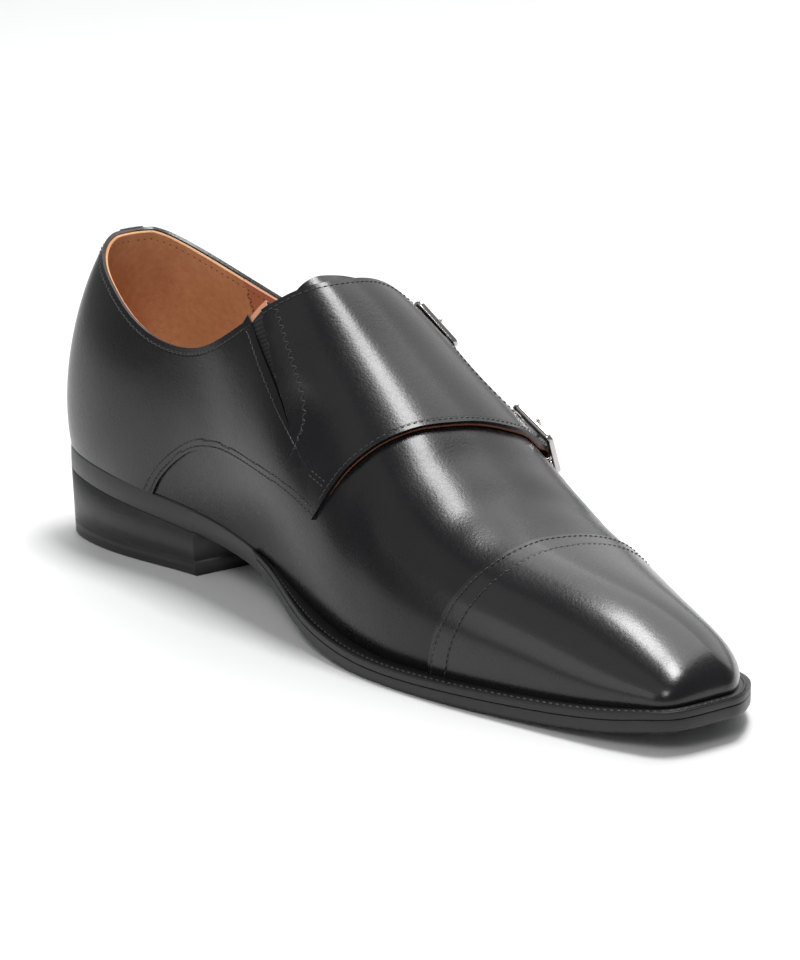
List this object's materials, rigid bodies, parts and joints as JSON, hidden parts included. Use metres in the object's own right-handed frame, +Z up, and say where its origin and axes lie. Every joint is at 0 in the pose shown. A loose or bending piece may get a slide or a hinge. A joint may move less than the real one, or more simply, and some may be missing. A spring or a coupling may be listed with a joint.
{
  "type": "monk strap shoe",
  "caption": "Left dress shoe with a toe cap, low heel and leather sole, closed by a strap panel whose two straps cross the instep to fastened buckles on the outer side.",
  "frame": {"origin": "Middle of the footprint's box on the floor, under the shoe", "axes": "+X towards the outer (little toe) side, +Y towards the heel, +Z up; the toe points along -Y"},
  "size_m": [0.1017, 0.3024, 0.1046],
  "materials": {
    "black_leather": "polished smooth calf with soft creases and stitching in the same colour",
    "sole_leather": "black satin edge dressing over stacked leather",
    "lining_leather": "tan glove leather and suede heel lining, matt",
    "elastic_webbing": "black ribbed elastic, matt",
    "buckle_steel": "polished grey plating with bright rounded edges"
  },
  "bodies": {
    "root": {"outsole": "sole_leather", "welt": "sole_leather", "heel": "sole_leather", "insole": "lining_leather", "upper": "black_leather", "tongue": "black_leather", "gore": "elastic_webbing", "strap_panel": "black_leather", "buckle_upper": "buckle_steel", "prong_upper": "buckle_steel", "buckle_lower": "buckle_steel", "prong_lower": "buckle_steel"}
  },
  "joints": []
}
